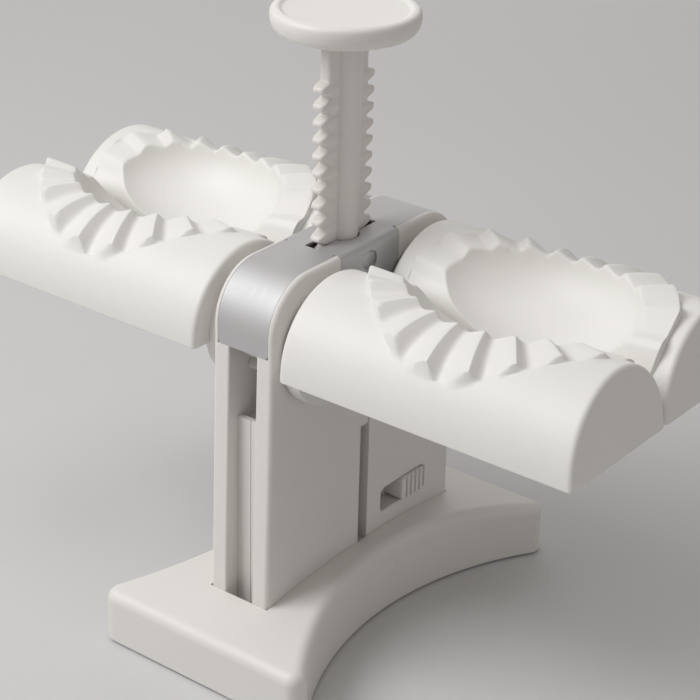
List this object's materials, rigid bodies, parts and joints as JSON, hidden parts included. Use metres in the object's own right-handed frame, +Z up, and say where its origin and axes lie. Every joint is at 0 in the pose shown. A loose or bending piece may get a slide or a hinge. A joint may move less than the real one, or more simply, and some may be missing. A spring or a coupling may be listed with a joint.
{
  "type": "empanada press",
  "caption": "Double-head empanada press: a knob on a toothed plunger turns facing half-round roller moulds that close and crimp a filled wrapper between them.",
  "frame": {"origin": "on the resting surface, under the middle of the press", "axes": "+X along the moulds, +Y to the back of the press, +Z up"},
  "size_m": [0.2796, 0.164, 0.241],
  "materials": {
    "mould_plastic": "satin moulded",
    "housing_plastic": "satin moulded",
    "knob_plastic": "satin moulded",
    "rack_plastic": "satin moulded",
    "gear_plastic": "satin moulded",
    "lock_plastic": "satin moulded",
    "strap_metal": "fine brushed",
    "rivet_metal": "satin",
    "screw_steel": "plain",
    "spring_steel": "drawn wire",
    "foot_rubber": "matte"
  },
  "bodies": {
    "frame": {"base": "housing_plastic", "rubber_feet": "foot_rubber", "base_screws": "screw_steel", "column_left": "housing_plastic", "column_right": "housing_plastic", "column_screws": "screw_steel", "head_strap": "strap_metal", "strap_rivets": "rivet_metal", "spring_seat": "housing_plastic", "return_spring": "spring_steel"},
    "plunger": {"press_knob": "knob_plastic", "rack_rod": "rack_plastic", "guide_foot": "rack_plastic", "foot_screw": "screw_steel"},
    "front_jaw": {"front_gear_shaft": "gear_plastic", "front_right_mould": "mould_plastic", "front_left_mould": "mould_plastic", "front_right_cover": "mould_plastic", "front_left_cover": "mould_plastic", "front_mould_screws": "screw_steel"},
    "back_jaw": {"back_gear_shaft": "gear_plastic", "back_right_mould": "mould_plastic", "back_left_mould": "mould_plastic", "back_right_cover": "mould_plastic", "back_left_cover": "mould_plastic", "back_mould_screws": "screw_steel"},
    "lock": {"lock_button": "lock_plastic", "lock_bolt": "lock_plastic"}
  },
  "joints": [
    {"name": "press_slide", "type": "slide", "parent": "frame", "child": "plunger", "axis": [0, 0, -1], "range_m": [0, 0.0502], "stiffness_N_per_m": 200, "springref_m": -0.03, "deforming": ["return_spring"]},
    {"name": "front_jaw_turn", "type": "hinge", "parent": "frame", "child": "front_jaw", "pos_m": [0, -0.0298, 0.126], "axis": [1, 0, 0], "range_deg": [-180, 0]},
    {"name": "back_jaw_turn", "type": "hinge", "parent": "frame", "child": "back_jaw", "pos_m": [0, 0.0298, 0.126], "axis": [1, 0, 0], "range_deg": [0, 180]},
    {"name": "lock_slide", "type": "slide", "parent": "frame", "child": "lock", "axis": [0, -1, 0], "range_m": [0, 0.0114]}
  ],
  "couplings": [
    {"joint": "front_jaw_turn", "follows": "press_slide", "rad_per_m": -62.5},
    {"joint": "back_jaw_turn", "follows": "press_slide", "rad_per_m": 62.5}
  ]
}
